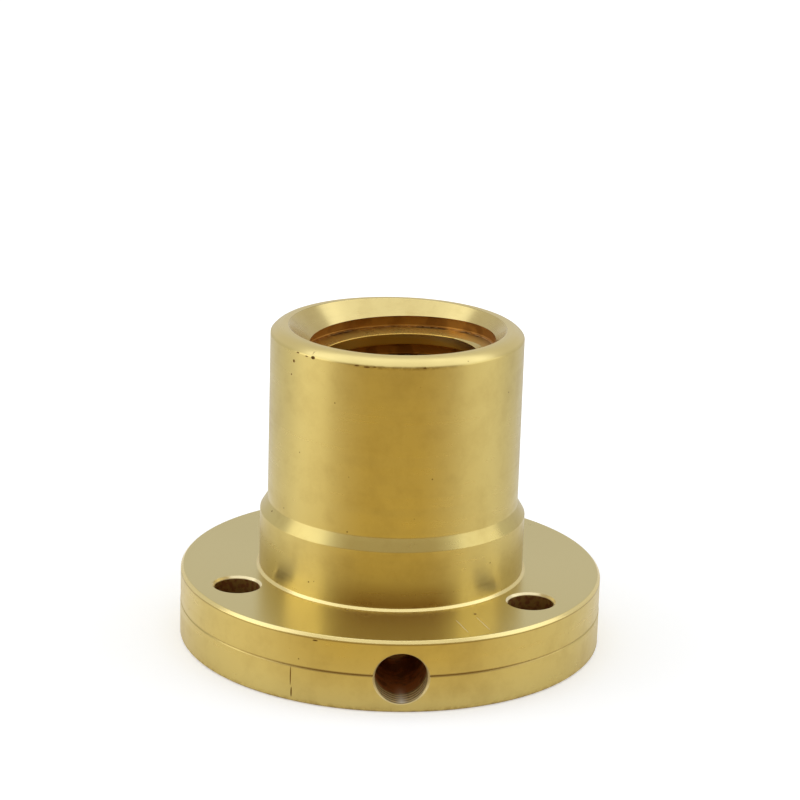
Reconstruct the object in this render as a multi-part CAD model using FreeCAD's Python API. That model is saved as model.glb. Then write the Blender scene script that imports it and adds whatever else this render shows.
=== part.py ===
import FreeCAD, Part

import math
import os

# Lead screw nut, turned from one bar of brass: a round flange, a locating neck, a barrel and a
# left-hand trapezoidal thread through the middle. Millimetres, +Z up, origin at the middle of
# the flange's underside, so the thread's axis is Z. The hole through the rim faces -Y.

# Driving dimensions of the turned outside
flange_d = 71.0
flange_t = 12.0
neck_d = 44.5
neck_len = 10.0
cone_len = 2.0
barrel_d = 42.0
barrel_len = 29.8
lip_bevel = 1.25
mouth_d = 36.0
foot_d = 36.0

# Edges broken on the lathe, and the small corner that the tool's nose leaves at the neck's root
rim_break = 0.5
foot_break = 0.3
neck_corner = 0.4

# Trapezoidal thread: nominal diameter of the screw, pitch, flank angle and play at the root
screw_d = 32.0
pitch = 5.0
flank_deg = 15.0
root_play = 0.25
lead_in_deg = 45.0
groove_z = 1.5

# Bolt holes through the flange, turned a little from the hole in the rim
bolt_count = 3
bolt_circle_d = 56.0
bolt_hole_d = 7.5
bolt_deburr = 0.2
bolt_turn_deg = -8.0

# Hole through the rim into the thread; its deburred edge is this wide at its flanks
rim_hole_d = 8.5
rim_hole_drop = 0.3
rim_hole_deburr = 0.35

# How far a cutting tool reaches past the surface it leaves
tool_run = 1.0

# Sizes that follow
flange_r = flange_d / 2
neck_r = neck_d / 2
barrel_r = barrel_d / 2
mouth_r = mouth_d / 2
foot_r = foot_d / 2
neck_top = flange_t + neck_len
barrel_foot = neck_top + cone_len
total_h = barrel_foot + barrel_len
root_r = screw_d / 2 + root_play
crest_r = (screw_d - pitch) / 2
pitch_r = (screw_d - pitch / 2) / 2

axis = FreeCAD.Vector(0, 0, 1)
origin = FreeCAD.Vector(0, 0, 0)


def point(r, z):
    """A point of a section: r from the axis on the +X side, z above the underside."""
    return FreeCAD.Vector(r, 0, z)


def turned_blank():
    """The outside of the nut as one turned section, from the underside to the mouth."""
    outline = [
        point(0, 0),
        point(flange_r - foot_break, 0),
        point(flange_r, foot_break),
        point(flange_r, flange_t - rim_break),
        point(flange_r - rim_break, flange_t),
        point(neck_r + neck_corner, flange_t),
        point(neck_r, flange_t + neck_corner),
        point(neck_r, neck_top),
        point(barrel_r, barrel_foot),
        point(barrel_r, total_h - lip_bevel),
        point(barrel_r - lip_bevel, total_h),
        point(0, total_h),
        point(0, 0),
    ]
    return Part.Face(Part.makePolygon(outline)).revolve(origin, axis, 360)


def bore_core():
    """The drilled bore at the thread's crest, its wall in four quarters, so that each turn of
    the crest stays a row of short faces."""
    quarters = []
    for k in range(4):
        base = point(0, -tool_run)
        quarter = Part.makeCylinder(crest_r, total_h + 2 * tool_run, base, axis, 90)
        quarter.rotate(origin, axis, 45 + 90 * k)
        quarters.append(quarter)
    return quarters[0].fuse(quarters[1:])


def lead_in(end_r, end_z, outward):
    """A cone that opens the bore to end_r at the end face; outward is +1 at the top, -1 below."""
    rise = math.tan(math.radians(lead_in_deg))
    section = [
        point(0, end_z + outward * tool_run),
        point(end_r + tool_run / rise, end_z + outward * tool_run),
        point(0, end_z - outward * end_r * rise),
        point(0, end_z + outward * tool_run),
    ]
    return Part.Face(Part.makePolygon(section)).revolve(origin, axis, 360)


def thread_groove():
    """The left-hand groove of the trapezoidal thread, swept along a true helix that runs past
    both ends of the nut."""
    slope = math.tan(math.radians(flank_deg))
    inner_r = crest_r - tool_run / 2

    def half_width(r):
        # groove and ridge are each half a pitch wide at the pitch radius
        return pitch / 4 - (r - pitch_r) * slope

    turns_below = 2
    start_z = groove_z - turns_below * pitch
    turns = math.ceil((total_h - start_z) / pitch) + 1
    section = Part.makePolygon([
        point(inner_r, start_z - half_width(inner_r)),
        point(root_r, start_z - half_width(root_r)),
        point(root_r, start_z + half_width(root_r)),
        point(inner_r, start_z + half_width(inner_r)),
        point(inner_r, start_z - half_width(inner_r)),
    ])
    helix = Part.makeLongHelix(pitch, turns * pitch, crest_r, 0, True)
    helix.translate(point(0, start_z))
    return Part.Wire(helix.Edges).makePipeShell([section], True, True)


def drill(d, length, deburr_near, deburr_far):
    """A drill with a deburring cone at each end of its cut, standing on the origin."""
    r = d / 2
    section = [
        point(0, -tool_run),
        point(r + deburr_near + tool_run, -tool_run),
        point(r, deburr_near),
        point(r, length - deburr_far),
        point(r + deburr_far + tool_run, length + tool_run),
        point(0, length + tool_run),
        point(0, -tool_run),
    ]
    return Part.Face(Part.makePolygon(section)).revolve(origin, axis, 360)


def bolt_drills():
    """The drills of the bolt holes, evenly spaced; the first stands nearly opposite the rim hole."""
    drills = []
    for k in range(bolt_count):
        tool = drill(bolt_hole_d, flange_t, bolt_deburr, bolt_deburr)
        tool.translate(FreeCAD.Vector(bolt_circle_d / 2, 0, 0))
        tool.rotate(origin, axis, 90 + bolt_turn_deg + 360 * k / bolt_count)
        drills.append(tool)
    return drills


def rim_drill():
    """The drill of the rim hole, from the thread's crest out through the rim at -Y."""
    r = rim_hole_d / 2
    inner = crest_r - tool_run
    # the rim is round, so the deburring cone starts where its edge meets the hole's flank
    flank_r = math.sqrt(flange_r ** 2 - (r + rim_hole_deburr) ** 2)
    section = [
        point(0, inner),
        point(r, inner),
        point(r, flank_r - rim_hole_deburr),
        point(r + rim_hole_deburr + tool_run, flank_r + tool_run),
        point(r + rim_hole_deburr + tool_run, flange_r + tool_run),
        point(0, flange_r + tool_run),
        point(0, inner),
    ]
    tool = Part.Face(Part.makePolygon(section)).revolve(origin, axis, 360)
    tool.rotate(origin, FreeCAD.Vector(1, 0, 0), 90)
    tool.translate(FreeCAD.Vector(0, 0, flange_t / 2 - rim_hole_drop))
    return tool


def nut_body():
    """The whole nut: the blank is bored, led in at both ends, threaded, then drilled."""
    body = turned_blank().cut(bore_core())
    body = body.cut([lead_in(mouth_r, total_h, 1), lead_in(foot_r, 0, -1)])
    body = body.cut(thread_groove())
    body = body.cut(bolt_drills() + [rim_drill()])
    return body.Solids[0]


os.makedirs("parts", exist_ok=True)
nut = nut_body()
nut.exportStep("parts/nut_body.step")
print("nut_body", "valid", nut.isValid(), "volume", round(nut.Volume, 1), "faces", len(nut.Faces))
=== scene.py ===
# %% [markdown]
# # A lead screw nut in turned brass
#
# The real part starts as a brass bar. A lathe turns the flange, the neck and the barrel, bores the
# middle and cuts a left-hand trapezoidal thread in it. A drill then makes three bolt holes and one
# hole through the rim. This file makes the part in the same order, because each of those tools
# leaves its own kind of surface, and a viewer knows turned brass by exactly those marks.

import math

import bmesh
import bpy
import numpy as np
from mathutils import Matrix, Vector


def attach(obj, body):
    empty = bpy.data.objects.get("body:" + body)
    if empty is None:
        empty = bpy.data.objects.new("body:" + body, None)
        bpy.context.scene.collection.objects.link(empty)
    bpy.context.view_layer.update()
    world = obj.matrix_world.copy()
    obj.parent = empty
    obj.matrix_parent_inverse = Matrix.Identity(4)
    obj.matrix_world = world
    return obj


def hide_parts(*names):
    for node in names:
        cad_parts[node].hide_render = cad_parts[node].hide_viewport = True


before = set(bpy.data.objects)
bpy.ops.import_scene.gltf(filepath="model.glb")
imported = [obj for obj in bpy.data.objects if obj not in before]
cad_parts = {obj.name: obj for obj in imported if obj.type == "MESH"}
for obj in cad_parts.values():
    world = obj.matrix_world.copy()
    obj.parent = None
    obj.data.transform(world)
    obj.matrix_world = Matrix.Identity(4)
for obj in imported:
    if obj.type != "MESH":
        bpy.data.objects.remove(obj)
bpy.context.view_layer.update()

# %% [markdown]
# ## Sizes
#
# Blender works in metres here, and a lathe drawing in millimetres. The sizes below are in
# millimetres and are scaled once, when a mesh is made. They repeat the sizes of the solid, so the
# dressed part lies on it.

# %% Sizes in millimetres
MM = 0.001

flange_r, flange_t = 35.5, 12.0
neck_r, neck_top = 22.25, 22.0
barrel_r, barrel_foot = 21.0, 24.0
total_h = 53.8
lip_bevel = 1.25
mouth_r = foot_r = 18.0
crest_r, root_r = 13.5, 16.25
pitch, flank_deg, pitch_r, groove_z = 5.0, 15.0, 14.75, 1.5
rim_break, foot_break, neck_corner = 0.5, 0.3, 0.4
bolt_r, bolt_circle_r, bolt_deburr, bolt_az = 3.75, 28.0, 0.35, (82, 202, 322)
rim_hole_r, rim_hole_z, rim_hole_deburr = 4.25, 5.7, 0.35
# the witness is the hairline round the rim, with a small step above it
witness_z, witness_half, witness_deep, witness_step = 6.1, 0.18, 0.12, 0.05

segments = 360
print("bar", 2 * flange_r, "x", total_h, "mm, one face per", 360 / segments, "degrees")

# %% [markdown]
# ## Softened corners
#
# No corner on a machined part is perfectly sharp. The tool's nose and the deburring leave a small
# radius, and that radius is what catches the light as a thin bright line. A corner could be
# rounded by a Bevel modifier after the fact, but a drawn section is exact and keeps the faces
# tidy, so each corner of a section is replaced by a short arc before it is turned.

# %% Round the corners of a section
def softened(corners, steps=5):
    """Corners are (r, z, radius). Each corner with a radius becomes an arc that touches both sides."""
    line = []
    for k, (r, z, radius) in enumerate(corners):
        here = Vector((r, z))
        if radius == 0 or k in (0, len(corners) - 1):
            line.append(here)
            continue
        to_last = (Vector(corners[k - 1][:2]) - here).normalized()
        to_next = (Vector(corners[k + 1][:2]) - here).normalized()
        half = to_last.angle(to_next) / 2
        reach = radius / math.tan(half)
        centre = here + (to_last + to_next).normalized() * radius / math.sin(half)
        first, last = here + to_last * reach - centre, here + to_next * reach - centre
        turn = math.pi - 2 * half
        for s in range(steps + 1):
            t = s / steps
            spread = (math.sin((1 - t) * turn) * first + math.sin(t * turn) * last) / math.sin(turn)
            line.append(centre + spread)
    return line


print("a square corner with a radius of 1:", [tuple(round(c, 2) for c in p) for p in
      softened([(0, 0, 0), (5, 0, 1), (5, 5, 0)], 3)])

# %% [markdown]
# ## A lathe in code
#
# A Screw modifier could turn a section too. Building the rings directly keeps the section at hand,
# and the section is needed again later, because its slopes give every face its exact normal. A
# surface that a lathe has made shows no facets, so its mesh must not shade any either.

# %% Turn a section into a closed solid
def solid_from(name, points, faces):
    """A mesh object with the given points, in millimetres, and its faces turned outward."""
    mesh = bpy.data.meshes.new(name)
    mesh.from_pydata([Vector(p) * MM for p in points], [], faces)
    shape = bmesh.new()
    shape.from_mesh(mesh)
    bmesh.ops.recalc_face_normals(shape, faces=shape.faces)
    shape.to_mesh(mesh)
    shape.free()
    solid = bpy.data.objects.new(name, mesh)
    bpy.context.scene.collection.objects.link(solid)
    return solid


def turned(name, section, count=segments):
    """A section of (r, z) that starts and ends on the axis becomes a solid round Z."""
    points, rings = [], []
    for r, z in section:
        # on the axis a ring is one point, so the faces there are triangles
        around = range(count) if r > 1e-6 else range(1)
        rings.append([len(points) + j for j in around])
        points += [(r * math.cos(2 * math.pi * j / count), r * math.sin(2 * math.pi * j / count), z)
                   for j in around]
    faces = []
    for low, high in zip(rings[:-1], rings[1:]):
        for j in range(count):
            a, b = low[j % len(low)], low[(j + 1) % len(low)]
            c, d = high[(j + 1) % len(high)], high[j % len(high)]
            faces.append([v for n, v in enumerate((a, b, c, d)) if v not in (a, b, c, d)[:n]])
    return solid_from(name, points, faces)

# %% [markdown]
# ## The turned blank
#
# The outside is one section: the underside, the rim with its hairline where the bar was turned
# round in the chuck, the flange's face, the neck, the short cone, the barrel and its lip. The
# neck's root keeps the small slanted flat that the tool's nose leaves. Each corner has a radius of
# its own, because a handled edge wears rounder than a sheltered one.

# %% The outside of the nut
outside = softened([
    (0, 0, 0),
    (flange_r - foot_break, 0, 0.2),
    (flange_r, foot_break, 0.2),
    (flange_r, witness_z - witness_half, 0.03),
    (flange_r - witness_deep, witness_z, 0.02),
    (flange_r - witness_step, witness_z + witness_half, 0.03),
    (flange_r - witness_step, flange_t - rim_break, 0.25),
    (flange_r - rim_break, flange_t, 0.25),
    (neck_r + neck_corner, flange_t, 0.1),
    (neck_r, flange_t + neck_corner, 0.1),
    (neck_r, neck_top, 0.25),
    (barrel_r, barrel_foot, 0.35),
    (barrel_r, total_h - lip_bevel, 0.5),
    (barrel_r - lip_bevel, total_h, 2.8),
    (0, total_h, 0),
])
nut = turned("nut_turned", outside)
print("blank:", len(nut.data.polygons), "faces from", len(outside), "points of section")

# %% [markdown]
# ## The bore and its lead-in cones
#
# A boring bar opens the middle to the size of the thread's crest and then cuts a cone at each end,
# so that the screw finds its way in. The tool is one more turned solid, a little longer than the
# nut. Past the mouth's edge it leaves the metal on a shallow slope, which rounds that edge.

# %% The boring tool
over, wide, shallow, hair = 2, 3, 0.25, 0.005
bore = softened([
    (0, -over, 0),
    (foot_r + over, -over, 0),
    (foot_r, 0, 0),
    (crest_r, foot_r - crest_r, 0.2),
    (crest_r, total_h - (mouth_r - crest_r), 0.2),
    (mouth_r, total_h - hair, 0.35),
    (mouth_r + wide, total_h + shallow, 0),
    (mouth_r + wide, total_h + over, 0),
    (0, total_h + over, 0),
], 3)
bore_tool = turned("bore_tool", bore)
print("bore tool:", len(bore_tool.data.polygons), "faces")

# %% [markdown]
# ## The thread
#
# A lathe cuts this thread by moving one pointed tool along the bore while the bar turns. The mesh
# is made the same way: the tool's section is carried along a helix. Stacked rings would be easier,
# and a viewer would see at once that they never climb. The thread is left-hand, so the helix rises
# as it goes clockwise. The section's corners at the crest flare out a little, which rounds the
# ridge's edges.

# %% The threading tool carried along its helix
slope = math.tan(math.radians(flank_deg))
steps_per_turn = 180


def half_width(r):
    """Half the groove's width. Groove and ridge are equally wide at the pitch radius."""
    return pitch / 4 - (r - pitch_r) * slope


def groove_section():
    """The tool's section as (r, height above the groove's middle), from the lower crest edge."""
    crest_soft, root_soft = 0.16, 0.3
    # the flare starts just inside the bore's wall, so that the two tools never share a surface
    flare, skim, inner_r = 0.6, 0.004, crest_r - 0.8
    lower = softened([
        (crest_r - skim, -half_width(crest_r) - flare, 0),
        (crest_r - skim, -half_width(crest_r - skim), crest_soft),
        (root_r, -half_width(root_r), root_soft),
        (root_r, 0, 0),
    ], 4)[1:]
    upper = [Vector((r, -w)) for r, w in reversed(lower[:-1])]
    return [Vector((inner_r, lower[0].y)), *lower, *upper, Vector((inner_r, -lower[0].y))]


def threaded(name, section):
    """The section swept along the left-hand helix, from below the nut to above it."""
    first_turn, last_turn = -2, 12
    points, faces, count = [], [], len(section)
    total = (last_turn - first_turn) * steps_per_turn
    for s in range(total + 1):
        turn = first_turn + s / steps_per_turn
        angle = -2 * math.pi * turn
        points += [(r * math.cos(angle), r * math.sin(angle), groove_z + pitch * turn + w)
                   for r, w in section]
    for s in range(total):
        for k in range(count):
            a, b = s * count + k, s * count + (k + 1) % count
            faces.append([a, b, b + count, a + count])
    faces += [list(range(count)), list(range(total * count, (total + 1) * count))]
    return solid_from(name, points, faces)


groove = groove_section()
thread_tool = threaded("thread_tool", groove)
print("threading tool:", len(thread_tool.data.polygons), "faces, half width at the crest",
      round(half_width(crest_r), 3), "mm")

# %% [markdown]
# ## The drills
#
# Each hole is drilled and then deburred by hand, so its edge is a small cone and not a knife edge.
# A drill is a turned solid as well, laid along the hole. The rim is round and a straight cone would
# cut much deeper above and below the hole than at its sides. A hand follows the edge instead, so
# the cone for this hole is squeezed to an oval.

# %% The drills for the bolt holes and the rim hole
def drill(name, radius, start, end, low_cone, high_cone, place):
    """A drill along Z from start to end with a deburring cone at each end, then put in place.
    It runs only 1 mm past the ends, so that the wide end of its cone stays clear of the neck."""
    past, soft = 1, 0.15
    section = softened([
        (0, start - past, 0),
        (radius + (low_cone + past if low_cone else 0), start - past, 0),
        (radius, start + low_cone, soft if low_cone else 0),
        (radius, end - high_cone, soft if high_cone else 0),
        (radius + (high_cone + past if high_cone else 0), end + past, 0),
        (0, end + past, 0),
    ], 3)
    tool = turned(name, section, 96)
    tool.matrix_world = place
    return tool, section


drills = []
for az in bolt_az:
    middle = Vector((bolt_circle_r, 0, 0)) * MM
    place = Matrix.Rotation(math.radians(az), 4, "Z") @ Matrix.Translation(middle)
    drills.append(drill("bolt_drill", bolt_r, 0, flange_t, bolt_deburr, bolt_deburr, place))

rim_hole_middle = Matrix.Translation(Vector((0, 0, rim_hole_z)) * MM)
along_rim_hole = rim_hole_middle @ Matrix.Rotation(math.pi / 2, 4, "X")
drills.append(drill("rim_drill", rim_hole_r, crest_r, flange_r, 0, 0, along_rim_hole))

# flank_r is where the deburred edge meets the round rim beside the hole; above and below the hole
# the squeezed cone takes off only a tenth of a millimetre
inset, deeper, taken_above = 0.5, 2, 0.1
flank_r = math.sqrt(flange_r ** 2 - (rim_hole_r + rim_hole_deburr) ** 2)
squeeze = (rim_hole_r + taken_above) / (rim_hole_r + rim_hole_deburr + flange_r - flank_r)
oval = along_rim_hole @ Matrix.Diagonal((1, squeeze, 1, 1))
drills.append(drill("rim_deburr", rim_hole_r - inset, flank_r - deeper, flank_r, 0,
                    rim_hole_deburr + inset, oval))
print(len(drills), "drills; the rim hole's flank is at", round(flank_r, 2), "mm, its cone is squeezed to",
      round(squeeze, 3))

# %% [markdown]
# ## Nicks and scratches
#
# The nut has been handled. It has a nick on its lip, a few pits, a scratch down the rim and two on
# the flange. Each is cut into the metal with a small stretched ball, because a real dent breaks the
# reflection around it, and a painted one doesn't.

# %% The balls that make the marks
# the camera stands this many degrees round from the hole in the rim
view_turn = -3.64


def mark(name, az, radius, z, heading, half_sizes):
    """A ball at a place on the nut, turned to its heading and stretched to three half sizes. Both
    angles are in degrees as the camera sees them, with the front at -90."""
    az, heading = az + view_turn, heading + view_turn
    arc = [math.pi * k / 10 for k in range(11)]
    ball = turned(name, [(math.sin(a), -math.cos(a)) for a in arc], 16)
    spot = Matrix.Rotation(math.radians(az), 4, "Z") @ Vector((radius * MM, 0, z * MM))
    ball.matrix_world = Matrix.LocRotScale(spot, Matrix.Rotation(math.radians(heading), 3, "Z"),
                                           Vector(half_sizes))
    return ball


pits = [mark("pit", az, r, z, az, size) for az, r, z, size in (
    (-129.6, 20.95, 52.40, (0.26, 0.42, 0.26)),
    (-133.4, 21.00, 52.35, (0.08, 0.34, 0.10)),
    (-139.2, 20.98, 52.50, (0.08, 0.36, 0.12)),
    (-141.9, 21.00, 50.86, (0.12, 0.27, 0.26)),
    (-143.6, 21.00, 48.50, (0.07, 0.16, 0.14)),
    (-107.5, 20.99, 52.42, (0.07, 0.40, 0.12)),
    (-103.0, 20.99, 52.34, (0.08, 0.50, 0.13)),
    (-99.5, 20.99, 52.46, (0.06, 0.30, 0.10)),
    (-77.7, 20.99, 52.46, (0.10, 0.28, 0.14)),
    (-58.2, 26.31, 12.00, (0.26, 0.26, 0.16)),
    (-158.8, 21.35, 23.45, (0.10, 0.20, 0.16)),
    (-126.6, 22.25, 14.95, (0.06, 0.13, 0.13)),
    (-109.0, 35.45, 11.05, (0.12, 0.45, 0.12)),
    (-115.7, 35.50, 4.30, (0.06, 0.10, 1.60)),
    (-115.4, 35.50, 1.60, (0.08, 0.13, 0.85)),
)]
scratches = [mark("scratch", az, r, z, heading, size) for az, r, z, heading, size in (
    (-67.3, 30.38, 12.00, -70.0, (2.90, 0.08, 0.035)),
    (-60.3, 30.42, 12.00, -69.0, (2.95, 0.07, 0.03)),
    (-130.4, 20.62, 53.30, -130.4, (0.55, 0.13, 0.55)),
)]
print(len(pits), "pits and", len(scratches), "scratches")

# %% [markdown]
# ## Cutting the metal
#
# The Boolean modifier takes each tool out of the blank. Blender has three solvers for it. Manifold
# is the one for closed solids such as these: it keeps the cut edges exact and takes a second or
# two. Each tool brings its own material slot, so that afterwards every face still tells which tool
# made it.

# %% Take the tools out of the blank
finishes = {}


def finish_of(solid, name):
    """One material slot for each kind of tool, shared by the tools of that kind."""
    if name not in finishes:
        finishes[name] = bpy.data.materials.new(name)
    solid.data.materials.clear()
    solid.data.materials.append(finishes[name])


finish_of(nut, "turned_brass")
finish_of(bore_tool, "bored_brass")
finish_of(thread_tool, "threaded_brass")
for tool, _ in drills:
    finish_of(tool, "bolt_hole_brass" if tool.name.startswith("bolt") else "rim_hole_brass")
for ball in pits:
    finish_of(ball, "nicked_brass")
for ball in scratches:
    finish_of(ball, "scratched_brass")

tools = [bore_tool, thread_tool] + [tool for tool, _ in drills] + pits + scratches
for tool in tools:
    cut = nut.modifiers.new("cut", "BOOLEAN")
    cut.object, cut.operation, cut.solver = tool, "DIFFERENCE", "MANIFOLD"
    cut.material_mode = "TRANSFER"
bpy.context.view_layer.update()
graph = bpy.context.evaluated_depsgraph_get()
machined = bpy.data.meshes.new_from_object(nut.evaluated_get(graph), depsgraph=graph)
nut.modifiers.clear()
nut.data = machined
places = [tool.matrix_world.copy() for tool, _ in drills]
marked = [ball.matrix_world.copy() for ball in pits + scratches]
for tool in tools:
    bpy.data.objects.remove(tool)
print("machined nut:", len(machined.polygons), "faces,", len(machined.loop_triangles), "triangles,",
      [m.name for m in machined.materials])

# %% [markdown]
# ## Exact normals
#
# A Boolean leaves long and thin faces beside each cut, and normals averaged over them show as
# smudges in polished metal. Here every face still lies on a section that is known, so each corner
# gets the true normal of that section. Where two pieces of a section meet at a small angle, the
# longer one leads, so that a flat wall stays flat right up to its rounded edge. Where they meet at
# 30 degrees or more, the corner stays crisp.

# %% The normals of a section
crisp_from = math.cos(math.radians(30))


def section_normals(section):
    """For each piece of the section: its two ends, and the outward normal at each end."""
    ends = np.array([tuple(p) for p in section], float)
    start, end = ends[:-1], ends[1:]
    along = end - start
    length = np.linalg.norm(along, axis=1, keepdims=True)
    own = np.stack([along[:, 1], -along[:, 0]], 1) / length
    first, last = own.copy(), own.copy()
    for k in range(len(own) - 1):
        if own[k] @ own[k + 1] > crisp_from:
            shared = own[k] * length[k] ** 2 + own[k + 1] * length[k + 1] ** 2
            last[k] = first[k + 1] = shared / np.linalg.norm(shared)
    return start, end, first, last


def normals_on(section, points, face_of_point):
    """The section's normal at each point (r, z), taken from the piece that its face lies on."""
    start, end, first, last = section_normals(section)
    along = end - start
    size = (along ** 2).sum(1)
    faces, index = np.unique(face_of_point, return_inverse=True)
    count = np.bincount(index)[:, None]
    middle = np.stack([np.bincount(index, points[:, c]) for c in (0, 1)], 1) / count
    t = np.clip(((middle[:, None] - start) * along).sum(2) / size, 0, 1)
    away = np.linalg.norm(middle[:, None] - start - t[..., None] * along, axis=2)
    piece = away.argmin(1)[index]
    t = np.clip(((points - start[piece]) * along[piece]).sum(1) / size[piece], 0, 1)[:, None]
    mixed = (1 - t) * first[piece] + t * last[piece]
    return mixed / np.linalg.norm(mixed, axis=1, keepdims=True), away.min(1)[index]

# %% [markdown]
# ## From sections to corners
#
# Blender keeps a custom normal for each corner of each face, so two faces can share an edge and
# still shade apart. The corners are read and written as whole arrays, because a loop over so many
# would be slow.

# %% Read the corners of the mesh
loops = len(machined.loops)
corner_vertex = np.zeros(loops, int)
machined.loops.foreach_get("vertex_index", corner_vertex)
positions = np.zeros(3 * len(machined.vertices))
machined.vertices.foreach_get("co", positions)
corners = positions.reshape(-1, 3)[corner_vertex] / MM
face_size = np.zeros(len(machined.polygons), int)
machined.polygons.foreach_get("loop_total", face_size)
face_of_corner = np.repeat(np.arange(len(face_size)), face_size)
slot = np.zeros(len(machined.polygons), int)
machined.polygons.foreach_get("material_index", slot)
made_by = np.array([m.name for m in machined.materials])[slot[face_of_corner]]
normals = np.zeros((loops, 3))
print(loops, "corners in", len(face_size), "faces")

# %% [markdown]
# ## Normals of the lathe and the helix
#
# On a turned face the section's normal is swung round the axis. On the thread it also leans by the
# lead, because the groove climbs as it goes round. The printed distances show that each face really
# lies on the section that it takes its normals from.

# %% Turned, bored and threaded faces
up = np.array([0.0, 0.0, 1.0])


def around_axis(points):
    """Radius, outward direction and sideways direction of each point, seen from the Z axis."""
    radius = np.hypot(points[:, 0], points[:, 1])
    out = np.stack([points[:, 0] / radius, points[:, 1] / radius, 0 * radius], 1)
    return radius, out, np.stack([-out[:, 1], out[:, 0], 0 * radius], 1)


for name, section, sign in (("turned_brass", outside, 1), ("bored_brass", bore, -1)):
    mine = made_by == name
    r, out, _ = around_axis(corners[mine])
    flat, off = normals_on(section, np.stack([r, corners[mine, 2]], 1), face_of_corner[mine])
    normals[mine] = sign * (flat[:, :1] * out + flat[:, 1:] * up)
    print(name, int(mine.sum()), "corners, furthest from its section", round(off.max(), 4), "mm")

# on the helix the height is counted from the middle of the nearest turn of the groove, and all
# corners of a face count from the same turn
mine = made_by == "threaded_brass"
r, out, side = around_axis(corners[mine])
climb = corners[mine, 2] + pitch * np.arctan2(out[:, 1], out[:, 0]) / (2 * math.pi) - groove_z
first_corner = np.searchsorted(face_of_corner[mine], face_of_corner[mine])
anchor = climb[first_corner]
height = (climb - anchor + pitch / 2) % pitch - pitch / 2 + (anchor + pitch / 2) % pitch - pitch / 2
flat, off = normals_on(groove, np.stack([r, height], 1), face_of_corner[mine])
lead = pitch / (2 * math.pi * r)[:, None]
normals[mine] = -(flat[:, :1] * out + flat[:, 1:] * (up + lead * side))
print("threaded_brass", int(mine.sum()), "corners, furthest", round(off.max(), 4), "mm")

# %% [markdown]
# ## Normals of the drills and the balls
#
# Several drills and balls share a material, so each corner first looks for the tool that it lies
# nearest to. A tool may be squeezed, and then a normal doesn't turn as a point does: it is carried
# back by the inverse matrix.

# %% Drilled faces and marks
def nearest_tool(label, mine, tools, measure):
    """Gives each corner the normal of the nearest tool. The tools are pairs of a matrix and a
    section, and measure says the normals and the distances in the tool's own space."""
    nearest = np.full(len(mine), np.inf)
    for place, section in tools:
        back = np.array(place.inverted())
        local = corners[mine] @ back[:3, :3].T + back[:3, 3] / MM
        own, off = measure(local, section, face_of_corner[mine])
        better = off < nearest
        nearest[better] = off[better]
        normals[mine[better]] = -(own @ back[:3, :3])[better]
    print(label, len(mine), "corners, furthest", round(nearest.max(), 4), "mm")


def on_drill(local, section, faces):
    r, out, _ = around_axis(local)
    flat, off = normals_on(section, np.stack([r, local[:, 2]], 1), faces)
    return flat[:, :1] * out + flat[:, 1:] * up, off


def on_ball(local, section, faces):
    return local, np.abs(np.linalg.norm(local, axis=1) - 1)


holes = np.flatnonzero(np.char.find(made_by, "hole") > 0)
nearest_tool("drilled holes", holes, [(p, s) for p, (_, s) in zip(places, drills)], on_drill)
dents = np.flatnonzero((made_by == "nicked_brass") | (made_by == "scratched_brass"))
nearest_tool("marks", dents, [(p, None) for p in marked], on_ball)

normals /= np.linalg.norm(normals, axis=1, keepdims=True)
machined.shade_smooth()
machined.normals_split_custom_set([tuple(n) for n in normals])

# %% [markdown]
# ## Riding on the model
#
# The machined nut stands for the imported solid and rides on its body.

# %% Put the nut on its body
nut.name = "nut_turned"
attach(nut, "root")
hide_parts("nut_body")

# %% [markdown]
# ## Colours and nodes
#
# A colour picked from a picture or a paint chart is an sRGB hex value. Blender's shaders add and
# multiply light, and that works only on linear values, so one function turns the first into the
# second. One more function adds a node with its settings and its links, so a material reads as a
# list of what it is made of.

# %% Two small helpers
def linear(code):
    """An sRGB hex value such as "D2BE76" as a linear colour."""
    parts = [int(code[k:k + 2], 16) / 255 for k in (0, 2, 4)]
    return [v / 12.92 if v <= 0.04045 else ((v + 0.055) / 1.055) ** 2.4 for v in parts] + [1.0]


def add_node(tree, kind, settings=None, links=None):
    """Adds a shader node. Settings name its properties or inputs, and links name what feeds them:
    a socket, or a node whose first output is meant."""
    node = tree.nodes.new("ShaderNode" + kind)
    for name, value in (settings or {}).items():
        if isinstance(name, str) and hasattr(node, name):
            setattr(node, name, value)
        else:
            node.inputs[name].default_value = value
    for name, source in (links or {}).items():
        tree.links.new(getattr(source, "outputs", [source])[0], node.inputs[name])
    return node


print("brass in linear light:", [round(v, 3) for v in linear("D2BE76")])

# %% [markdown]
# ## Brass
#
# Brass is copper with zinc. It has no colour of its own under the surface: all of its yellow is in
# what it reflects, so Metallic is 1 and the colour is that of its reflection. A turning tool
# leaves fine rings. Across them the light spreads and along them it stays sharp, which gives the
# soft upright bands of a turned cylinder and the fan of light on a faced flange. The Anisotropic
# setting with a tangent round the axis does this, as real rings would be far finer than a pixel.
#
# The rings are 0.1 mm apart on the real part. They would be too fine to show, so they are drawn
# 0.6 mm apart, six times as coarse, and only thousandths of a millimetre deep.

# %% Turned brass
def clear(material):
    """The material's node tree, with only an output in it."""
    material.use_nodes = True
    material.node_tree.nodes.clear()
    return material.node_tree, add_node(material.node_tree, "OutputMaterial")


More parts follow.
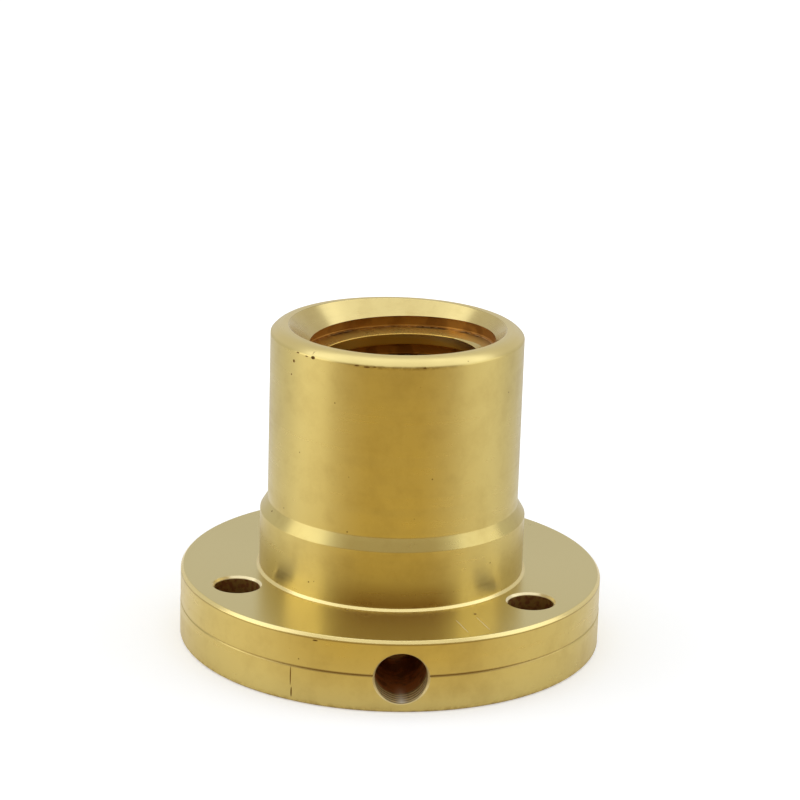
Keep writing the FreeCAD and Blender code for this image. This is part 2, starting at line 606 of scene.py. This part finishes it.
def brass(name, colour, roughness, ring, relief, anisotropic=0.0, metallic=1.0, travel=(1, 1)):
    """Brass with tool rings, ring mm apart and relief thousandths of a millimetre deep. Travel says
    how far a step up and a step out each move on towards the next ring."""
    tree, output = clear(finishes[name])
    place = add_node(tree, "TexCoord").outputs["Object"]
    apart = add_node(tree, "SeparateXYZ", links={0: place}).outputs
    flat = add_node(tree, "CombineXYZ", links={0: apart[0], 1: apart[1]})
    radius = add_node(tree, "VectorMath", {"operation": "LENGTH"}, {0: flat}).outputs["Value"]
    height = add_node(tree, "Math", {"operation": "MULTIPLY", 1: travel[0] / (ring * MM)}, {0: apart[2]})
    along = add_node(tree, "Math", {"operation": "MULTIPLY_ADD", 1: travel[1] / (ring * MM)},
                     {0: radius, 2: height})
    # a real ring isn't the same all the way round, so the pattern drifts slowly across the part
    drift = add_node(tree, "VectorMath", {"operation": "MULTIPLY", 1: (1 / (60 * MM), 1 / (60 * MM), 0)},
                     {0: place})
    ring_place = add_node(tree, "CombineXYZ", links={2: along})
    ring_place = add_node(tree, "VectorMath", {"operation": "ADD"}, {0: ring_place, 1: drift})
    rings = add_node(tree, "TexNoise", {"Scale": 1.0, "Detail": 2.0, "Roughness": 0.6},
                     {"Vector": ring_place})
    # hand marks and thin tarnish, about 6 mm across
    blotch = add_node(tree, "TexNoise", {"Scale": 1 / (6 * MM), "Detail": 5.0, "Roughness": 0.65},
                      {"Vector": place})
    worn = add_node(tree, "MapRange", {"From Min": 0.3, "From Max": 0.7, "To Min": roughness * 0.9,
                    "To Max": roughness * 1.12}, {"Value": blotch.outputs["Fac"]})
    grooved = add_node(tree, "MapRange", {"From Min": 0.3, "From Max": 0.7, "To Min": 0.88,
                       "To Max": 1.12}, {"Value": rings.outputs["Fac"]})
    rough = add_node(tree, "Math", {"operation": "MULTIPLY"}, {0: worn, 1: grooved})
    tarnish = add_node(tree, "MapRange", {"From Min": 0.48, "From Max": 0.75, "To Max": 0.28},
                       {"Value": blotch.outputs["Fac"]})
    shade = add_node(tree, "Mix", {"data_type": "RGBA", 6: linear(colour), 7: linear("A98C48")},
                     {0: tarnish})
    bump = add_node(tree, "Bump", {"Strength": 1.0, "Distance": relief * MM / 1000},
                    {"Height": rings.outputs["Fac"]})
    tangent = add_node(tree, "Tangent", {"direction_type": "RADIAL", "axis": "Z"})
    shader = add_node(tree, "BsdfPrincipled", {"Metallic": metallic, "Anisotropic": anisotropic,
                      "Anisotropic Rotation": 0.25},
                      {"Base Color": shade.outputs[2], "Roughness": rough,
                       "Normal": bump, "Tangent": tangent})
    tree.links.new(shader.outputs[0], output.inputs[0])
    return tree, shader, place, apart[2], radius, blotch.outputs["Fac"]


def near(value, middle, half, steep=None):
    """A mask that is 1 where the value is the middle and fades to 0 at half on each side, both in
    millimetres. Steep makes the fade that many times shorter, counted from its outer end."""
    tree = value.id_data
    off = add_node(tree, "Math", {"operation": "SUBTRACT", 1: middle * MM}, {0: value})
    away = add_node(tree, "Math", {"operation": "ABSOLUTE"}, {0: off})
    mask = add_node(tree, "MapRange", {"From Max": half * MM, "To Min": 1.0, "To Max": 0.0},
                    {"Value": away})
    if steep:
        return add_node(tree, "Math", {"operation": "MULTIPLY", 1: steep, "use_clamp": True}, {0: mask})
    return mask


def near_corner(height, radius, z, r, half_z, half_r):
    """A mask round one corner of the section, a ring on the nut."""
    return add_node(height.id_data, "Math", {"operation": "MULTIPLY"},
                    {0: near(height, z, half_z), 1: near(radius, r, half_r)})


def lay_over(shader, mask, colour=None, roughness=None, strength=1.0, broken=None):
    """Lays a colour or a roughness over the metal where the mask is 1. A broken mask is
    multiplied in, so that the layer comes and goes."""
    tree = shader.id_data
    mask = add_node(tree, "Math", {"operation": "MULTIPLY", 1: strength}, {0: mask})
    if broken:
        mask = add_node(tree, "Math", {"operation": "MULTIPLY"}, {0: mask, 1: broken})
    if colour:
        old = shader.inputs["Base Color"].links[0].from_socket
        mix = add_node(tree, "Mix", {"data_type": "RGBA", 7: linear(colour)}, {0: mask, 6: old})
        tree.links.new(mix.outputs[2], shader.inputs["Base Color"])
    if roughness:
        old = shader.inputs["Roughness"].links[0].from_socket
        mix = add_node(tree, "Mix", {"data_type": "FLOAT", 3: roughness}, {0: mask, 2: old})
        tree.links.new(mix.outputs[0], shader.inputs["Roughness"])

# %% [markdown]
# ## Wear, dirt and painted light on the turned outside
#
# The flange's face mirrors more sharply than the barrel, because it was turned last with a finer
# cut. Cutting oil dries into rusty crumbs in the corner at the neck's root, where a cloth can't
# reach. Painted shade lies in the hairline round the rim, under the lip, along the foot of the rim
# and on the front of the neck, and painted highlights lie on the lip and on the small flats at the
# rim's edge and the neck's root.

# %% The turned outside
tree, shader, place, height, radius, _ = brass(
    "turned_brass", "D2BE76", roughness=0.31, ring=0.6, relief=1.5, anisotropic=0.80)
lay_over(shader, near(height, flange_t, 0.3, 20.0), "D8C684", 0.24)

# crumbs about a millimetre across break up the rust and the painted shade, which is strongest on the
# front, the camera's side
crumbs = add_node(tree, "TexNoise", {"Scale": 1 / (1.2 * MM), "Detail": 3.0, "Roughness": 0.6},
                  {"Vector": place})
broken = add_node(tree, "MapRange", {"From Min": 0.42, "From Max": 0.60}, {"Value": crumbs})
y = add_node(tree, "SeparateXYZ", links={0: place}).outputs[1]
rim_front = add_node(tree, "MapRange", {"From Min": -24 * MM, "From Max": -33 * MM, "To Min": 0.25},
                     {"Value": y})
lip_front = add_node(tree, "MapRange", {"From Min": -18.5 * MM, "From Max": -20.8 * MM}, {"Value": y})
neck_front = add_node(tree, "MapRange", {"From Min": -19.5 * MM, "From Max": -21.5 * MM}, {"Value": y})

# painted shade darkens the front of the neck's wall near its root, and rusty crumbs sit in its root
painted_neck_shade = add_node(tree, "Math", {"operation": "MULTIPLY"},
                   {0: near(radius, neck_r, 0.12, 8.0), 1: neck_front})
lay_over(shader, near(height, flange_t + 1.0, 4.0), "9A6E28", None, 0.6, painted_neck_shade)
rusty = add_node(tree, "MapRange", {"From Min": 0.60, "From Max": 0.66}, {"Value": crumbs})
root = near_corner(height, radius, flange_t + 0.2, neck_r + 0.15, 0.8, 0.6)
lay_over(shader, root, "7A4216", 0.5, 0.9, rusty)
# painted shade in the hairline round the rim, strongest on the front
lay_over(shader, near(height, witness_z, 0.3), "7A5218", 0.5, 0.9, rim_front)

# the lip is painted pale as a highlight, the palest metal on the nut, with a broken line of painted shade
# below it on the front
lip_z = total_h - 1.4
painted_lip_highlight = add_node(tree, "MapRange", {"From Min": lip_z * MM, "From Max": (lip_z + 0.5) * MM},
               {"Value": height})
lay_over(shader, painted_lip_highlight, "E2CC84")
# painted shade under the lip, on the front only
shade_under_lip = add_node(tree, "Math", {"operation": "MULTIPLY"}, {0: lip_front, 1: broken})
lay_over(shader, near(height, lip_z, 0.40), "7E6024", 0.5, 0.6, shade_under_lip)
# painted shade along the foot of the rim, where it stands on the floor, broken into crumbs
lay_over(shader, near(height, 0.0, 0.9), "8A6A2C", 0.5, 0.6, broken)

# the small flats at the rim's edge and the neck's root are painted pale and smoother as painted
# highlights, and a thin painted dark reflection lies below the rim's edge
edge = near_corner(height, radius, flange_t - 0.2, flange_r - 0.2, 0.35, 0.35)
root_flat = near_corner(height, radius, flange_t + 0.2, neck_r + 0.2, 0.35, 0.35)
painted_edge_highlight = add_node(tree, "Math", {"operation": "MAXIMUM"}, {0: edge, 1: root_flat})
painted_edge_highlight = add_node(tree, "Math", {"operation": "MULTIPLY", 1: 4.0, "use_clamp": True}, {0: painted_edge_highlight})
lay_over(shader, painted_edge_highlight, "F0DA92", 0.24)
lay_over(shader, near(height, flange_t - 0.64, 0.14), "8A6A2A", 0.5, 0.7)

# sparse dark specks, a quarter of a millimetre across
specks = add_node(tree, "TexVoronoi", {"Scale": 1 / (2.6 * MM)}, {"Vector": place})
chosen = add_node(tree, "SeparateXYZ", links={0: specks.outputs["Color"]})
chosen = add_node(tree, "Math", {"operation": "GREATER_THAN", 1: 0.72}, {0: chosen})
dot = add_node(tree, "MapRange", {"From Min": 0.03, "From Max": 0.065, "To Min": 1.0, "To Max": 0.0},
               {"Value": specks.outputs["Distance"]})
lay_over(shader, dot, "7A5A26", 0.5, 0.8, chosen)
print("turned_brass:", len(tree.nodes), "nodes")

# %% [markdown]
# ## Bored brass
#
# Nobody polishes the inside of a hole. The boring bar leaves the lead-in cones bright, and the wall
# below the cone is duller, and painted deeper in colour as shade inside the bore.

# %% The cones and the wall of the bore
tree, shader, _, height, _, _ = brass(
    "bored_brass", "D4BE7C", roughness=0.24, ring=0.6, relief=1.2, anisotropic=0.7)
cone_foot = total_h - (mouth_r - crest_r)
below_cone = add_node(tree, "MapRange", {"From Min": (cone_foot - 0.1) * MM,
                      "From Max": (cone_foot - 1.3) * MM}, {"Value": height})
# painted shade: below the cone the bore's wall is deeper in colour
lay_over(shader, below_cone, "CC9C3C", 0.36)
print("bored_brass:", len(tree.nodes), "nodes")

# %% [markdown]
# ## Threaded brass
#
# The screw wipes the flanks of its thread. Towards the root and deeper in the bore the metal is
# painted darker and more orange as shade, with a thin painted highlight on the root's edge. A thin
# oxide takes away some of the metal's mirror, so Metallic is a little below 1 here and about a half
# in the drilled holes.

# %% The thread
tree, shader, place, height, radius, blotch = brass(
    "threaded_brass", "DEB456", roughness=0.28, ring=0.3, relief=4.0, anisotropic=0.5,
    metallic=0.85, travel=(0, 1))
crumbs = add_node(tree, "TexNoise", {"Scale": 1 / (0.9 * MM), "Detail": 3.0}, {"Vector": place})
broken = add_node(tree, "MapRange", {"From Min": 0.44, "From Max": 0.56}, {"Value": crumbs})
patchy = add_node(tree, "MapRange", {"From Min": 0.47, "From Max": 0.60}, {"Value": blotch})
shade_patches = add_node(tree, "TexNoise", {"Scale": 1 / (5 * MM), "Detail": 2.0}, {"Vector": place})
shade_patches = add_node(tree, "MapRange", {"From Min": 0.49, "From Max": 0.56}, {"Value": shade_patches})
# these masks grow towards the root and deeper into the bore
root = add_node(tree, "MapRange", {"From Min": (root_r - 0.55) * MM, "From Max": (root_r - 0.15) * MM},
                {"Value": radius})
flank = add_node(tree, "MapRange", {"From Min": (root_r - 1.65) * MM, "From Max": (root_r - 0.25) * MM},
                 {"Value": radius})
deep = add_node(tree, "MapRange", {"From Min": (total_h - 5.8) * MM, "From Max": (total_h - 11.8) * MM},
                {"Value": height})
# brown patches grow towards the root
lay_over(shader, flank, "7A5018", 0.42, 0.9, patchy)
# painted shade: deeper in the bore and at the root the metal is darker and more orange
lay_over(shader, deep, "C4923C", 0.38)
lay_over(shader, root, "BC8436", 0.42)
# painted shade lies in patches along the root's corner, and a broken pale line beside it is a painted
# highlight on its burr
lay_over(shader, near(radius, root_r - 0.45, 0.55), "3C2008", 0.5, 1.0, shade_patches)
lay_over(shader, root, "8A5214", 0.45, 0.4, shade_patches)
lay_over(shader, near(radius, root_r - 0.3, 0.12), "F0DCA0", 0.3, 1.0, broken)
print("threaded_brass:", len(tree.nodes), "nodes")

# %% [markdown]
# ## Drilled brass in the bolt holes
#
# A drill rubs more than it cuts. It leaves spiral marks on the wall, drawn here as rings 0.45 mm
# apart, twice as coarse as the real ones. The wall tarnishes red and brown, and the edges, which
# were deburred last, are painted pale as a highlight.

# %% The bolt holes
tree, shader, place, height, _, _ = brass(
    "bolt_hole_brass", "9A7436", roughness=0.42, ring=0.45, relief=12.0, metallic=0.5, travel=(1, 0))
crumbs = add_node(tree, "TexNoise", {"Scale": 1 / (0.8 * MM), "Detail": 3.0}, {"Vector": place})
red = add_node(tree, "MapRange", {"From Min": 0.45, "From Max": 0.60}, {"Value": crumbs})
lay_over(shader, red, "7C3C18", 0.5, 0.75)
# painted highlight: the deburred edges at both ends are painted pale
deburred = bolt_deburr + 0.15
ends = add_node(tree, "Math", {"operation": "MAXIMUM"},
                {0: near(height, flange_t, deburred), 1: near(height, 0.0, deburred)})
ends = add_node(tree, "Math", {"operation": "MULTIPLY", 1: 4.0, "use_clamp": True}, {0: ends})
lay_over(shader, ends, "FBE9B2", 0.22)
print("bolt_hole_brass:", len(tree.nodes), "nodes")

# %% [markdown]
# ## Drilled brass in the rim hole
#
# This hole was drilled fast, and its turns are coarse enough to see. Deep inside they are covered
# with dark red tarnish. Near the mouth they lie bare and carry painted highlights, and at its bottom
# a pale streak is painted where they would catch the light.

# %% The rim hole
tree, shader, place, height, radius, blotch = brass(
    "rim_hole_brass", "D08A4C", roughness=0.38, ring=0.8, relief=90.0, metallic=0.4, travel=(0, 1))
dark_patch = add_node(tree, "MapRange", {"From Min": 0.47, "From Max": 0.58}, {"Value": blotch})
lay_over(shader, dark_patch, "6A3210", 0.45, 0.6)

near_mouth = add_node(tree, "MapRange", {"From Min": (flange_r - 4.4) * MM,
                      "From Max": (flange_r - 3.8) * MM}, {"Value": radius})
# a wave texture's bands are 0.314 apart at a scale of 1, and the drill's turns 0.9 mm
drill_turns = add_node(tree, "TexWave", {"wave_type": "BANDS", "bands_direction": "Y",
                       "Scale": 0.314 / (0.9 * MM), "Distortion": 3.5, "Detail": 3.0},
                       {"Vector": place})
# near the mouth the metal is bare, and the drill's turns carry painted highlights
lay_over(shader, near_mouth, "A48A4C", 0.36, 0.9)
lay_over(shader, near_mouth, "FFE9AE", 0.55, 1.0, drill_turns.outputs["Fac"])

across = add_node(tree, "SeparateXYZ", links={0: place})
lower = add_node(tree, "MapRange", {"From Min": (rim_hole_z - 2.3) * MM,
                 "From Max": (rim_hole_z - 3.9) * MM}, {"Value": height})
outer = add_node(tree, "MapRange", {"From Min": (flange_r - 7.5) * MM, "From Max": (flange_r - 1.0) * MM},
                 {"Value": radius})
# painted highlight: a pale streak at the bottom of the hole near its mouth
painted_streak = add_node(tree, "Math", {"operation": "MULTIPLY"}, {0: outer, 1: near(across, 0.2, 1.1)})
painted_streak = add_node(tree, "Math", {"operation": "MULTIPLY"}, {0: painted_streak, 1: lower})
lay_over(shader, painted_streak, "FFF8E4", 0.7)
lay_over(shader, near(radius, flange_r, 0.42, 4.0), "D9C282", 0.30)
print("rim_hole_brass:", len(tree.nodes), "nodes")

# %% [markdown]
# ## Nicks and scratches, coloured
#
# An old dent holds dirt and looks brown. A fresh scratch shows clean metal and looks pale.

# %% The marks
brass("nicked_brass", "7C5A26", roughness=0.45, ring=0.4, relief=5.0, metallic=0.8)
brass("scratched_brass", "FBEFC4", roughness=0.38, ring=0.4, relief=2.0, metallic=0.6)
print("finishes:", sorted(finishes))

# %% [markdown]
# ## The floor
#
# Metal shows what stands round it, so half of its look is made here. The nut stands on a pale
# floor in a white room. Enough lamps to turn the floor white would wash out the brass. So the floor
# glows only for the camera and for reflections, which the Light Path node tells apart, and it
# keeps the nut's soft shadow.

# %% The pale floor
def backdrop(name):
    return clear(bpy.data.materials.new(name))


scene = bpy.context.scene
half = 3
floor = bpy.data.objects.new("floor", bpy.data.meshes.new("floor"))
floor.data.from_pydata([(-half, -half, 0), (half, -half, 0), (half, half, 0), (-half, half, 0)], [],
                       [(0, 1, 2, 3)])
# a hair below the nut, so that the two surfaces don't lie in one plane
floor.location.z = -0.05 * MM
scene.collection.objects.link(floor)

tree, output = backdrop("pale_floor")
rays = add_node(tree, "LightPath").outputs
mirrored = rays["Is Glossy Ray"]
seen = add_node(tree, "Math", {"operation": "MAXIMUM"}, {0: rays["Is Camera Ray"], 1: mirrored})
place = add_node(tree, "TexCoord").outputs["Object"]
spot = add_node(tree, "SeparateXYZ", links={0: place}).outputs
ground = add_node(tree, "VectorMath", {"operation": "LENGTH"}, {0: place}).outputs["Value"]
# in the metal the floor is lighter on the left than on the right, and fades behind the nut
sideways = add_node(tree, "MapRange", {"From Min": -0.06, "From Max": 0.06, "To Min": 0.34,
                    "To Max": 0.24}, {"Value": spot[0]})
behind = add_node(tree, "MapRange", {"From Min": 0.0, "From Max": 0.10, "To Min": 1.0,
                  "To Max": 0.3}, {"Value": spot[1]})
seen_by_metal = add_node(tree, "Math", {"operation": "MULTIPLY"}, {0: sideways, 1: behind})
# for the camera it glows less near the nut, so that its soft shadow stays
white_level = add_node(tree, "MapRange", {"From Min": 0.05, "From Max": 0.16, "To Min": 0.36,
                       "To Max": 0.55}, {"Value": ground})
level = add_node(tree, "Mix", {"data_type": "FLOAT"}, {0: mirrored, 2: white_level, 3: seen_by_metal})
# under the nut nothing glows, and for the metal the glow is back only 46 mm out, past the shadow
shaded = add_node(tree, "Mix", {"data_type": "FLOAT", 2: 30 * MM, 3: 46 * MM}, {0: mirrored})
open_floor = add_node(tree, "MapRange", {"From Min": 20 * MM},
                      {"Value": ground, "From Max": shaded, "To Max": level})
glow = add_node(tree, "Math", {"operation": "MULTIPLY"}, {0: seen, 1: open_floor})
warm = add_node(tree, "Mix", {"data_type": "RGBA", 6: linear("FFFFFF"), 7: linear("FFEFD0")},
                {0: mirrored})
white = add_node(tree, "Emission", links={"Color": warm.outputs[2], "Strength": glow})
# painted shade: under the bore the floor is brown for the nut's shadow there, so the thread isn't lit
# from below
under_bore = add_node(tree, "MapRange", {"From Min": 17 * MM, "From Max": 20 * MM}, {"Value": ground})
paper_and_shade = add_node(tree, "Mix", {"data_type": "RGBA", 6: linear("9C6A30"), 7: linear("EDEBE6")},
                 {0: under_bore})
cloth = add_node(tree, "BsdfDiffuse", links={"Color": paper_and_shade.outputs[2]})
sheet = add_node(tree, "AddShader", links={0: white, 1: cloth})
tree.links.new(sheet.outputs[0], output.inputs[0])
floor.data.materials.append(bpy.data.materials["pale_floor"])
print("floor:", 2 * half, "m wide,", len(tree.nodes), "nodes")

# %% [markdown]
# ## The room
#
# The room is a world background. It is white for the camera and a little grey and cool in the
# metal, and it sends only half of that light to the nut, so the lamps keep the say over its shape.

# %% The white room
world = bpy.data.worlds.new("white_room")
scene.world = world
world.use_nodes = True
tree = world.node_tree
tree.nodes.clear()
output = add_node(tree, "OutputWorld")
rays = add_node(tree, "LightPath").outputs
mirrored = rays["Is Glossy Ray"]
seen = add_node(tree, "Math", {"operation": "MAXIMUM"}, {0: rays["Is Camera Ray"], 1: mirrored})
seen = add_node(tree, "Math", {"operation": "MAXIMUM"}, {0: seen, 1: rays["Is Transmission Ray"]})
level = add_node(tree, "MapRange", {"To Min": 0.5, "To Max": 1.0}, {"Value": seen})
shade = add_node(tree, "Mix", {"data_type": "RGBA", 6: linear("FFFFFF"), 7: linear("DBDCE0")},
                 {0: mirrored})
room = add_node(tree, "Background", links={"Color": shade.outputs[2], "Strength": level})
tree.links.new(room.outputs[0], output.inputs[0])
print("room:", len(tree.nodes), "nodes")

# %% [markdown]
# ## The lamps
#
# A wide cool lamp overhead gives the faces that look up their even tone, and a strip behind it
# lights the lip. Two lamps at the sides make the bright upright bands of a turned cylinder. Large
# lamps are used, because a small one would show in the metal as a hard spot.

# %% Four soft lamps
def soft_light(name, place, size, power, colour):
    lamp = bpy.data.lights.new(name, "AREA")
    lamp.shape, lamp.size, lamp.size_y = "RECTANGLE", *size
    lamp.energy, lamp.color = power, linear(colour)[:3]
    holder = bpy.data.objects.new(name, lamp)
    holder.location = place
    aim = Vector((0, 0, 20 * MM)) - Vector(place)
    holder.rotation_euler = aim.to_track_quat("-Z", "Y").to_euler()
    scene.collection.objects.link(holder)
    return holder


def box_place(az, elevation, away):
    """A place by compass: az in degrees from the front, minus to the left, as the camera sees it."""
    a, e = math.radians(az - 90 + view_turn), math.radians(elevation)
    return (away * math.cos(a) * math.cos(e), away * math.sin(a) * math.cos(e), away * math.sin(e))


soft_light("top_light", (0.0, -0.02, 0.75), (2.3, 0.8), 4.0, "E2ECFF")
soft_light("strip_light", (0.0, 0.20, 0.75), (1.7, 0.26), 0.6, "DCE8FF")
soft_light("left_light", box_place(-80, 18, 0.6), (0.44, 0.35), 0.49, "FFFFFF")
soft_light("right_light", box_place(84, 18, 0.6), (0.50, 0.35), 0.33, "FFFFFF")

# %% [markdown]
# ## The dark side of the room
#
# A camera stands in an unlit part of the room, over a brown table. The barrel and the flange mirror
# both, and that is where the dark middle of each comes from. One curved sheet stands for them: it
# lies on the table in front of the nut and then goes up like a screen. It hides from the camera
# and throws no shadow, because only the metal is meant to see it. Its material is see-through
# towards its edges, so that the dark band in the metal ends softly.

# %% The brown table and the grey screen
def dark_side(name, reach, height):
    """The curved sheet: a half ring of table out to reach, then a screen up to height. Fade says
    how solid each point is. Tone goes from 0 at the nut to 1 at the table's end, and the screen
    has 2."""
    start, lift = 0.037, 0.001
    # degrees from the front where each half has faded out, and how wide its fade is
    table_ends, table_fade, screen_ends, screen_fade = 88, 66, 64, 22
    points, faces, across, along, fade, tone = [], [], 60, 32, [], []
    for i in range(along + 1):
        t = i / along
        for j in range(across + 1):
            az = -90 + 180 * j / across
            a = math.radians(az - 90 + view_turn)
            r = start + (reach - start) * min(1, 2 * t)
            points.append((r * math.cos(a), r * math.sin(a), lift + height * max(0, 2 * t - 1)))
            # only the table's very first points, beside the rim, are see-through
            low = min(1, max(0, (table_ends - abs(az)) / table_fade)) * (t > 0)
            high = min(1, max(0, (screen_ends - abs(az)) / screen_fade))
            fade.append(low if t < 0.5 else high)
            tone.append(min(1, 2 * t) if t < 0.5 else 2)
    for i in range(along):
        for j in range(across):
            k = i * (across + 1) + j
            faces.append((k, k + 1, k + across + 2, k + across + 1))
    mesh = bpy.data.meshes.new(name)
    mesh.from_pydata(points, [], faces)
    mesh.attributes.new("fade", "FLOAT", "POINT").data.foreach_set("value", fade)
    mesh.attributes.new("tone", "FLOAT", "POINT").data.foreach_set("value", tone)
    piece = bpy.data.objects.new(name, mesh)
    scene.collection.objects.link(piece)
    piece.visible_camera = piece.visible_diffuse = piece.visible_shadow = False
    piece.visible_transmission = False
    return mesh


mesh = dark_side("dark_side", 0.30, 0.42)
tree, output = backdrop("dark_side")
# the table is darker away from the nut, and the screen is darker higher up
tone = add_node(tree, "Attribute", {"attribute_name": "tone"})
reach = add_node(tree, "MapRange", {"From Min": 0.15, "From Max": 0.58}, {"Value": tone.outputs["Fac"]})
table = add_node(tree, "Mix", {"data_type": "RGBA", 6: linear("E6CC80"), 7: linear("D6BE7C")}, {0: reach})
upper = add_node(tree, "Math", {"operation": "SUBTRACT", 1: 1.0, "use_clamp": True},
                 {0: tone.outputs["Fac"]})
rising = add_node(tree, "SeparateXYZ", links={0: add_node(tree, "TexCoord").outputs["Object"]})
rising = add_node(tree, "MapRange", {"From Min": 0.09, "From Max": 0.20}, {"Value": rising.outputs[2]})
screen = add_node(tree, "Mix", {"data_type": "RGBA", 6: linear("BAA888"), 7: linear("AC9E82")},
                  {0: rising})
wall = add_node(tree, "Mix", {"data_type": "RGBA"}, {0: upper, 6: table.outputs[2], 7: screen.outputs[2]})
dark = add_node(tree, "Emission", {"Strength": 1.0}, {"Color": wall.outputs[2]})
clear_part = add_node(tree, "BsdfTransparent")
solid_part = add_node(tree, "Attribute", {"attribute_name": "fade"})
blend = add_node(tree, "MixShader", links={0: solid_part.outputs["Fac"], 1: clear_part, 2: dark})
tree.links.new(blend.outputs[0], output.inputs[0])
mesh.materials.append(bpy.data.materials["dark_side"])
print("dark side:", len(mesh.polygons), "faces")

# %% [markdown]
# ## The camera
#
# The photograph's camera was found from the nut itself: two of its diameters are known, and one
# place and one lens put all of its edges where they are. It stands 45 cm away, 18 degrees up, with
# a long lens, and leans a little to one side.

# %% The camera
lens = bpy.data.cameras.new("camera")
lens.lens, lens.sensor_width = 120.66, 36.0
lens.clip_start, lens.clip_end = 0.01, 20.0
camera = bpy.data.objects.new("camera", lens)
distance, aim_height = 450 * MM, 28 * MM
rise, lean, swing, tip, turn = (math.radians(v) for v in (18.219, 1.736, 0.140, -1.581, view_turn))
level_view = Matrix(((1, 0, 0), (0, math.sin(rise), math.cos(rise)),
                     (0, -math.cos(rise), math.sin(rise))))
roll = Matrix(((math.cos(lean), math.sin(lean), 0), (-math.sin(lean), math.cos(lean), 0), (0, 0, 1)))
pan = Matrix(((math.cos(swing), 0, math.sin(swing)), (0, 1, 0), (-math.sin(swing), 0, math.cos(swing))))
tilt = Matrix(((1, 0, 0), (0, math.cos(tip), -math.sin(tip)), (0, math.sin(tip), math.cos(tip))))
world_to_view = tilt @ pan @ roll @ level_view
spin = Matrix.Rotation(turn, 3, "Z")
place = spin @ Vector((0, -distance * math.cos(rise), aim_height + distance * math.sin(rise)))
camera.matrix_world = Matrix.Translation(place) @ (spin @ world_to_view.transposed()).to_4x4()
scene.collection.objects.link(camera)
scene.camera = camera
scene.view_settings.view_transform = "Standard"
print("camera at", [round(v * 1000, 1) for v in place], "mm")
